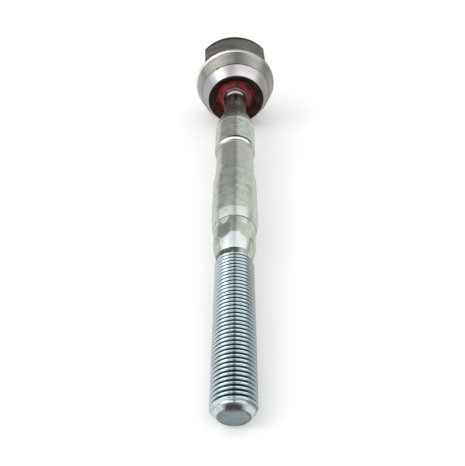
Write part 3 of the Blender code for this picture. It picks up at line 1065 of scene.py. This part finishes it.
def resin_material():
    """Dark bearing resin with thin red grease in patches."""
    material, net, shader = new_material("resin_finish")
    local, _ = own_place(net, HOUSING_FRAME)
    patches = net.noise(local, 260.0, 3.0, 0.6)
    colour = net.mix(patches.above(0.5, 0.3), (0.012, 0.012, 0.014), (0.05, 0.012, 0.014))
    normal = net.bump(net.noise(local, 1800.0, 2.0, 0.5), 0.00001)
    finish_shader(net, shader, colour, 0.28 + 0.2 * patches, None, normal)
    return material


def grease_material():
    """Red grease, dark where it is thin and dirty and bright where it lies thick, and painted
    brighter on its left as light.
    """
    material, net, shader = new_material("red_grease")
    local, (x, _, _) = own_place(net, HOUSING_FRAME)
    lumps = net.noise(local, 330.0, 3.0, 0.55)
    # The grease is painted brighter on its left, towards the lamp: painted light.
    left = 1.0 - x.above(-0.001, 0.009)
    bright = (lumps.above(0.50, 0.2) * (0.45 + 0.75 * left)).unit()
    colour = net.mix(bright, (0.078, 0.020, 0.018), (0.50, 0.020, 0.016))
    normal = net.bump(net.noise(local, 700.0, 3.0, 0.6), 0.00006)
    finish_shader(net, shader, colour, 0.22 + 0.2 * lumps, None, normal)
    shader.inputs["Specular IOR Level"].default_value = 0.25
    shader.inputs["Coat Weight"].default_value = 0.12
    shader.inputs["Coat Roughness"].default_value = 0.08
    return material


def make_floor():
    """A wide pale floor, a little brighter to the camera, as the photograph clips it."""
    mesh = bpy.data.meshes.new("floor")
    shape = bmesh.new()
    bmesh.ops.create_grid(shape, x_segments=1, y_segments=1, size=6.0)
    shape.to_mesh(mesh)
    shape.free()
    floor = link("floor", mesh)
    material, net, shader = new_material("pale_floor")
    seen = net.node("ShaderNodeLightPath", output="Is Camera Ray")
    net.feed(shader.inputs["Base Color"], (0.80, 0.80, 0.795))
    net.feed(shader.inputs["Roughness"], 0.7)
    net.feed(shader.inputs["Emission Color"], net.mix(seen, (0.0, 0.0, 0.0), (0.20, 0.20, 0.20)))
    net.feed(shader.inputs["Emission Strength"], 1.0)
    mesh.materials.append(material)


def room_strength(net, x, y, z):
    """How bright the room is in each direction, as the metal's reflections need it.

    Ahead, up to about 50 degrees, stands a dull card, darker on its left. It shows on the
    level tops of the rod. Above and beside it is a softbox, dimmer on the left and near
    the floor, which shows on cones and crests. Both have a dim stripe in the middle.
    Behind the camera the room is dark, but for its ceiling and its sides.
    """
    right_half = x.above(0.0, 0.2)
    gap = close_to(x, -0.01, 0.065, 0.06)
    slit = close_to(x, -0.01, 0.040, 0.035)
    card = x.above(0.11, 0.16).blend(0.40, 0.77) * (1.0 - 0.50 * slit)
    low = ((z - right_half.blend(0.10, 0.30)) / 0.16).unit()
    softbox = low.blend(right_half.blend(0.58, 0.55), x.above(0.12, 0.2).blend(1.20, 1.36))
    softbox = softbox * (1.0 - 0.60 * gap * y.above(0.40, 0.12)) * (1.0 - 0.45 * slit)
    front = y.above(0.645, 0.03).blend(softbox, card)
    walls = abs(x).above(0.38, 0.35).blend(0.07, 0.62)
    behind = z.above(0.62, 0.3).blend(walls, 1.0)
    return y.above(-0.40, 0.3).blend(behind, front)


def make_light():
    """A room that is white to the camera and pale with dim parts to the metal, and a lamp."""
    world = bpy.data.worlds.new("room")
    bpy.context.scene.world = world
    world.use_nodes = True
    net = Net(world.node_tree)
    back = world.node_tree.nodes["Background"]
    x, y, z = net.split(net.node("ShaderNodeTexCoord", output="Generated"))
    seen = net.node("ShaderNodeLightPath", output="Is Camera Ray")
    net.feed(back.inputs["Color"], (1.0, 1.0, 1.0))
    net.feed(back.inputs["Strength"], seen.blend(room_strength(net, x, y, z), 1.1))
    lamp_data = bpy.data.lights.new("soft_lamp", "AREA")
    lamp_data.shape = "RECTANGLE"
    lamp_data.size = 0.5
    lamp_data.size_y = 0.4
    lamp_data.energy = 1.6
    lamp = bpy.data.objects.new("soft_lamp", lamp_data)
    bpy.context.scene.collection.objects.link(lamp)
    lamp.location = (-0.50, -0.15, 0.50)
    aim = Vector((0.0, 0.03, 0.0)) - lamp.location
    lamp.rotation_euler = aim.to_track_quat("-Z", "Y").to_euler()


def make_camera():
    """The photograph's view: low over the threaded end, looking down along the rod."""
    right, down, away = (ROD_FRAME.to_3x3().col[i] for i in range(3))
    up = -down
    foot = ROD_FRAME.to_translation() - away * CAMERA_BEFORE_END
    data = bpy.data.cameras.new("camera")
    camera = bpy.data.objects.new("camera", data)
    bpy.context.scene.collection.objects.link(camera)
    camera.location = foot + right * CAMERA_RIGHT + up * CAMERA_ABOVE_AXIS
    level = right * math.sin(CAMERA_YAW) + away * math.cos(CAMERA_YAW)
    look = level * math.cos(CAMERA_DOWN) - up * math.sin(CAMERA_DOWN)
    camera_right = right * math.cos(CAMERA_YAW) - away * math.sin(CAMERA_YAW)
    turn = Matrix((camera_right, camera_right.cross(look), -look)).transposed()
    camera.rotation_mode = "QUATERNION"
    camera.rotation_quaternion = turn.to_quaternion()
    data.sensor_width = SENSOR_WIDTH
    data.lens = FOCAL_PIXELS * SENSOR_WIDTH / PICTURE_HEIGHT
    data.clip_start = 0.005
    bpy.context.scene.camera = camera


def thread_rod(tree):
    """The rod's thread and its sawn, chamfered end."""
    # The second tint is the painted shade in the roots.
    tints = (0.83, 0.95, 0.99), (0.008, 0.033, 0.046)
    start = 0.0, THREAD_END_CHAMFER
    finish = thread_material("rod_thread_finish", ROD_FRAME, start, THREAD_RADIUS, *tints)
    sizes = {
        "Radius": THREAD_RADIUS,
        "Length": THREAD_LENGTH + THREAD_OVERLAP,
        "Start Radius": THREAD_RADIUS - THREAD_END_CHAMFER,
        "End Radius": RELIEF_RADIUS,
    }
    make_thread("rod_thread", tree, sizes, ROD_FRAME, finish, "rod")
    end = end_material()
    make_thread_end("rod_thread_end", THREAD_RADIUS, THREAD_END_CHAMFER, ROD_FRAME, end, "rod")


def thread_stud(tree):
    """The stud's thread and its chamfered end, on the housing's back."""
    stud_end = DRUM_BACK + STUD_LENGTH
    turned_round = Matrix.Rotation(math.pi, 4, "X")
    place = HOUSING_FRAME @ Matrix.Translation((0.0, 0.0, stud_end)) @ turned_round
    # The second tint is the painted shade in the roots.
    tints = (0.40, 0.39, 0.37), (0.030, 0.028, 0.026)
    start = stud_end, STUD_CHAMFER
    finish = thread_material("stud_finish", HOUSING_FRAME, start, STUD_RADIUS, *tints)
    sizes = {
        "Radius": STUD_RADIUS,
        "Length": STUD_LENGTH - STUD_UNDERCUT_LENGTH + THREAD_OVERLAP,
        "Start Radius": STUD_RADIUS - STUD_CHAMFER,
        "End Radius": STUD_UNDERCUT_RADIUS,
    }
    make_thread("stud_thread", tree, sizes, place, finish, "housing")
    make_thread_end("stud_end", STUD_RADIUS, STUD_CHAMFER, place, finish, "housing")


def main():
    bpy.context.scene.view_settings.view_transform = "Standard"
    make_camera()
    make_floor()
    make_light()
    resin = resin_material()
    grease = grease_material()
    make_rod(rod_material())
    make_housing(housing_material())
    make_front_seat(resin)
    frame["nodes"]["rear_seat"].data.materials.clear()
    frame["nodes"]["rear_seat"].data.materials.append(resin)
    tree = thread_tree()
    thread_rod(tree)
    thread_stud(tree)
    make_ball_grease(grease)
    make_mouth_grease(grease)


main()
